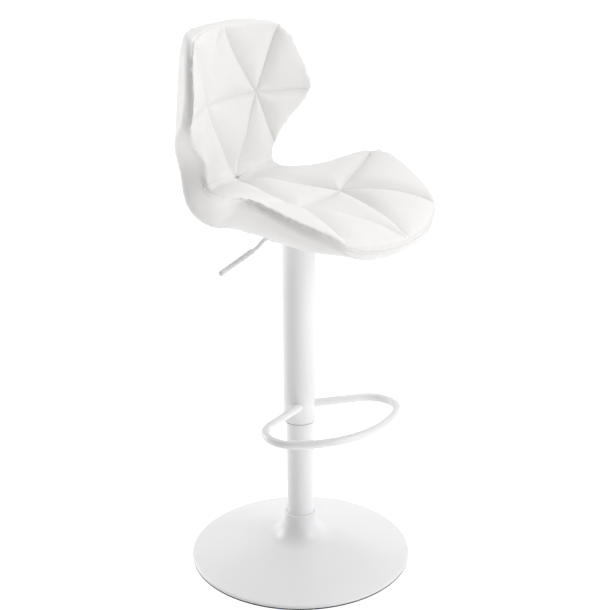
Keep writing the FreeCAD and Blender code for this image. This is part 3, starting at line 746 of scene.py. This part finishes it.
def peel_group():
    """Powder coat: a fine pebble with a slower ripple under it."""
    sheet, start, end = group_of(
        "Powder Coat",
        [("Vector", "Vector", None), ("Scale", "Float", 900.0)],
        [("Height", "Float"), ("Mottle", "Float")])
    pebble = sheet.add("TexNoise", {"Vector": start.outputs["Vector"],
                                    "Scale": start.outputs["Scale"], "Detail": 2.0})
    ripple = sheet.add("TexNoise", {"Vector": start.outputs["Vector"], "Scale": 140.0})
    slow = sheet.add("TexNoise", {"Vector": start.outputs["Vector"], "Scale": 9.0,
                                  "Detail": 4.0})
    height = sheet.math("ADD", pebble.outputs[0], ripple.outputs[0])
    sheet.tree.links.new(height, end.inputs["Height"])
    sheet.tree.links.new(slow.outputs[0], end.inputs["Mottle"])
    return sheet.tree


def turned_group():
    """Lathe lines round the column axis, with a slower unevenness."""
    sheet, start, end = group_of(
        "Lathe Lines",
        [("Vector", "Vector", None), ("Pitch", "Float", 2600.0)],
        [("Height", "Float"), ("Mottle", "Float")])
    squeezed = sheet.add("VectorMath", {0: start.outputs["Vector"], 1: (0.02, 0.02, 1.0)},
                         operation="MULTIPLY")
    lines = sheet.add("TexNoise", {"Vector": squeezed.outputs[0],
                                   "Scale": start.outputs["Pitch"], "Detail": 2.0})
    slow = sheet.add("TexNoise", {"Vector": start.outputs["Vector"], "Scale": 30.0})
    sheet.tree.links.new(lines.outputs[0], end.inputs["Height"])
    sheet.tree.links.new(slow.outputs[0], end.inputs["Mottle"])
    return sheet.tree


def coloured(name, colour, roughness, group, scale, bump, mottle=0.04, metallic=0.0, coat=0.0):
    """Principled material with one effect group; scale is the group's, bump is in metres."""
    material = bpy.data.materials.new(name)
    material.use_nodes = True
    material.node_tree.nodes.clear()
    sheet = Sheet(material.node_tree)
    place = sheet.add("TexCoord")
    effect = material.node_tree.nodes.new("ShaderNodeGroup")
    effect.node_tree = group
    material.node_tree.links.new(place.outputs["Object"], effect.inputs["Vector"])
    effect.inputs[1].default_value = scale
    low = [channel * (1 - mottle) for channel in colour]
    high = [min(channel * (1 + mottle * 0.5), 1.0) for channel in colour]
    tint = sheet.add("Mix", {"Factor": effect.outputs["Mottle"], 6: (*low, 1), 7: (*high, 1)},
                     data_type="RGBA")
    rough = sheet.add("MapRange", {"Value": effect.outputs["Mottle"],
                                   "To Min": roughness * (1 - ROUGH_MOTTLE),
                                   "To Max": roughness * (1 + ROUGH_MOTTLE)})
    relief = sheet.add("Bump", {"Height": effect.outputs["Height"], "Distance": bump,
                                "Strength": 1.0})
    surface = sheet.add("BsdfPrincipled", {
        "Base Color": tint.outputs[2], "Roughness": rough.outputs[0],
        "Normal": relief.outputs[0], "Metallic": metallic})
    if coat:
        surface.inputs["Coat Weight"].default_value = coat
        surface.inputs["Coat Roughness"].default_value = COAT_ROUGHNESS
    out = sheet.add("OutputMaterial", {"Surface": surface.outputs[0]})
    out.is_active_output = True
    return material


def build_materials(finish):
    """Make every finish of the stool, keyed by a plain name."""
    grain, peel, lathe = grain_group(), peel_group(), turned_group()
    leather = tuple(finish.leather)
    paint = tuple(finish.paint)
    MATERIALS.update({
        "leather": coloured("White Leather", leather, finish.leather_roughness, grain,
                            scale=720, bump=0.16 * MM, mottle=0.03),
        "leather_cover": coloured("White Leather Cover", leather, finish.leather_roughness,
                                  grain, scale=640, bump=0.18 * MM),
        "welt": coloured("Welt Leather", tuple(c * 0.98 for c in leather),
                         finish.leather_roughness, grain, scale=900, bump=0.12 * MM),
        "paint": coloured("White Powder Coat", paint, finish.paint_roughness, peel,
                          scale=850, bump=0.06 * MM, mottle=0.02, coat=0.25),
        "paint_tube": coloured("Smooth White Powder Coat", paint,
                               finish.paint_roughness * 0.9, peel,
                               scale=1100, bump=0.04 * MM, mottle=0.02, coat=0.35),
        "grip": coloured("Moulded Plastic", (0.82, 0.82, 0.83), 0.4, peel,
                         scale=1500, bump=0.03 * MM),
        "steel": coloured("Turned Steel", (0.55, 0.55, 0.56), 0.3, lathe,
                          scale=2600, bump=0.03 * MM, metallic=1.0),
        "zinc": coloured("Zinc Plate", (0.66, 0.67, 0.70), 0.36, peel,
                         scale=1600, bump=0.03 * MM, mottle=0.12, metallic=1.0),
        "nylon": coloured("Moulded Nylon", (0.42, 0.42, 0.43), 0.5, peel,
                          scale=1200, bump=0.03 * MM),
        "rubber": coloured("Ring Rubber", (0.05, 0.05, 0.05), 0.75, grain,
                           scale=1500, bump=0.08 * MM),
        "plywood": coloured("Beech Plywood", (0.62, 0.46, 0.28), 0.6, lathe,
                            scale=700, bump=0.06 * MM, mottle=0.2),
    })


NODE_FINISH = {
    "paint": ("base_dish", "collar_ring", "mount_plate", "lift_housing", "taper_socket",
              "weight_disc"),
    "paint_tube": ("column_tube", "outer_sleeve", "footrest_loop", "height_lever"),
    "grip": ("lever_grip",),
    "steel": ("foot_plug", "lower_race", "bearing_balls", "piston_rod", "upper_race",
              "rod_clip", "piston_head", "gas_cylinder", "valve_button", "sleeve_top_ring"),
    "zinc": ("column_nut", "lever_pin", "mount_bolts", "bolt_washers", "tee_nuts"),
    "nylon": ("column_guide", "end_guide", "sleeve_bush"),
    "rubber": ("floor_ring",),
    "plywood": ("seat_board",),
    "leather": ("pan_cushion", "back_cushion"),
    "leather_cover": ("outer_cover",),
}


# ---------------------------------------------------------------- operators


class STOOL_OT_finishes(bpy.types.Operator):
    """Give every CAD part its finish"""

    bl_idname = "stool.finishes"
    bl_label = "Finishes"

    def execute(self, context):
        build_materials(context.scene.stool_finish)
        for finish, nodes in NODE_FINISH.items():
            for node in nodes:
                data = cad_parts[node].data
                data.materials.clear()
                data.materials.append(MATERIALS[finish])
        return {"FINISHED"}


class STOOL_OT_pan_pad(bpy.types.Operator):
    """Make the quilted pad of the pan"""

    bl_idname = "stool.pan_pad"
    bl_label = "Pan Pad"

    def execute(self, context):
        pattern = SeamPattern(pan_seams(), (0, 1), UP, PAN_KNOT)
        make_pad("pan_pad", PAN_NODE, pattern, context.scene.stool_upholstery,
                 MATERIALS["leather"])
        return {"FINISHED"}


class STOOL_OT_back_pad(bpy.types.Operator):
    """Make the quilted pad of the back"""

    bl_idname = "stool.back_pad"
    bl_label = "Back Pad"

    def execute(self, context):
        pattern = SeamPattern(back_seams(), (0, 2), FORWARD, BACK_KNOT)
        make_pad("back_pad", BACK_NODE, pattern, context.scene.stool_upholstery,
                 MATERIALS["leather"])
        return {"FINISHED"}


class STOOL_OT_shell_cover(bpy.types.Operator):
    """Make the leather cover round the outside of the board"""

    bl_idname = "stool.shell_cover"
    bl_label = "Shell Cover"

    def execute(self, context):
        make_cover(context.scene.stool_upholstery, MATERIALS["leather_cover"])
        return {"FINISHED"}


class STOOL_OT_front_welts(bpy.types.Operator):
    """Make the two rows of piping along the pan's front edge"""

    bl_idname = "stool.front_welts"
    bl_label = "Front Welts"

    def execute(self, context):
        sizes = context.scene.stool_upholstery
        tree = tree_of_pieces("pan_pad", "shell_cover")
        for name, rise in WELT_RISES.items():
            points = front_line(tree, rise, sizes.welt_out)
            piece = cord_piece(name, points, sizes.welt_radius, MATERIALS["welt"])
            finish_piece(piece, "seat", "white_leather")
        return {"FINISHED"}


class STOOL_OT_studio(bpy.types.Operator):
    """Make the floor, the lights and the camera"""

    bl_idname = "stool.studio"
    bl_label = "Studio"

    def execute(self, context):
        studio = context.scene.stool_studio
        self.floor(studio)
        self.sky(studio)
        for name, power, place, width in LIGHTS:
            self.light(name, getattr(studio, power), place, width)
        self.camera(studio)
        return {"FINISHED"}

    def floor(self, studio):
        """Pale floor at the height of the CAD model's lowest point."""
        bm = bmesh.new()
        bmesh.ops.create_grid(bm, x_segments=8, y_segments=8, size=studio.floor_width / 2)
        bmesh.ops.translate(bm, verts=bm.verts, vec=(0, 0, CAD_BOX[0][2]))
        floor = piece_from(bm, "studio_floor", floor_material())

    def sky(self, studio):
        """Even white light, dimmed on the camera's side so that the near faces are shaded."""
        world = bpy.data.worlds.new("Studio Sky")
        bpy.context.scene.world = world
        world.use_nodes = True
        world.node_tree.nodes.clear()
        sheet = Sheet(world.node_tree)
        place = sheet.add("TexCoord")
        near = sheet.add("VectorMath", {0: place.outputs["Generated"], 1: DIM_SIDE},
                         operation="DOT_PRODUCT")
        dimmed = sheet.add("MapRange", {"Value": near.outputs["Value"], "From Min": -0.2,
                                        "From Max": 0.9, "To Min": studio.sky,
                                        "To Max": studio.sky * DIM_SHARE},
                           interpolation_type="SMOOTHSTEP")
        path = sheet.add("LightPath")
        strength = sheet.add("Mix", {"Factor": path.outputs["Is Camera Ray"],
                                     2: dimmed.outputs[0], 3: 1.0})
        back = sheet.add("Background", {"Color": (1, 1, 1, 1), "Strength": strength.outputs[0]})
        sheet.add("OutputWorld", {"Surface": back.outputs[0]})

    def light(self, name, power, place, width):
        """Square soft light that points at the stool's middle."""
        data = bpy.data.lights.new(name, "AREA")
        data.energy = power
        data.shape = "RECTANGLE"
        data.size = data.size_y = width
        lamp = bpy.data.objects.new(name, data)
        lamp.location = place
        towards = AIM - Vector(place)
        lamp.rotation_euler = towards.to_track_quat("-Z", "Y").to_euler()
        bpy.context.scene.collection.objects.link(lamp)

    def camera(self, studio):
        """The scene's camera."""
        data = bpy.data.cameras.new("studio_camera")
        data.lens = studio.lens
        data.sensor_width = 36
        data.clip_end = 50
        camera = bpy.data.objects.new("studio_camera", data)
        camera.location = studio.camera_place
        camera.rotation_euler = Euler(studio.camera_turn)
        bpy.context.scene.collection.objects.link(camera)
        bpy.context.scene.camera = camera


def floor_material():
    """Matt pale floor that glows a little, and more where the camera sees it directly."""
    material = bpy.data.materials.new("Studio Floor")
    material.use_nodes = True
    material.node_tree.nodes.clear()
    sheet = Sheet(material.node_tree)
    path = sheet.add("LightPath")
    glow = sheet.add("Mix", {"Factor": path.outputs["Is Camera Ray"],
                              2: FLOOR_GLOW, 3: FLOOR_GLOW_SEEN})
    surface = sheet.add("BsdfPrincipled", {
        "Base Color": (0.9, 0.9, 0.9, 1), "Roughness": 0.9,
        "Emission Color": (1, 1, 1, 1), "Emission Strength": glow.outputs[0]})
    sheet.add("OutputMaterial", {"Surface": surface.outputs[0]})
    return material


OPERATORS = [
    STOOL_OT_finishes,
    STOOL_OT_pan_pad,
    STOOL_OT_back_pad,
    STOOL_OT_shell_cover,
    STOOL_OT_front_welts,
    STOOL_OT_studio,
]


class STOOL_PT_panel(bpy.types.Panel):
    """Sidebar panel that lists the stool's settings and pieces"""

    bl_idname = "STOOL_PT_panel"
    bl_label = "Bar Stool"
    bl_space_type = "VIEW_3D"
    bl_region_type = "UI"
    bl_category = "Bar Stool"

    def draw(self, context):
        """List every setting, then every operator."""
        for name in SETTINGS:
            settings = getattr(context.scene, "stool_" + name)
            box = self.layout.box()
            box.label(text=name.title())
            for prop in settings.__annotations__:
                box.prop(settings, prop)
        for operator in OPERATORS:
            self.layout.operator(operator.bl_idname)


def register():
    """Register the classes and hang the settings on the scene."""
    for kind in [*SETTINGS.values(), *OPERATORS, STOOL_PT_panel]:
        bpy.utils.register_class(kind)
    for name, kind in SETTINGS.items():
        setattr(bpy.types.Scene, "stool_" + name, PointerProperty(type=kind))


def unregister():
    """Take the settings and the classes away again."""
    for name in SETTINGS:
        delattr(bpy.types.Scene, "stool_" + name)
    for kind in [STOOL_PT_panel, *reversed(OPERATORS), *reversed(SETTINGS.values())]:
        bpy.utils.unregister_class(kind)


def main():
    """Build the whole stool."""
    register()
    bpy.context.scene.view_settings.view_transform = "Standard"
    for operator in OPERATORS:
        name = operator.bl_idname.split(".")[1]
        getattr(bpy.ops.stool, name)()


if __name__ == "__main__":
    main()
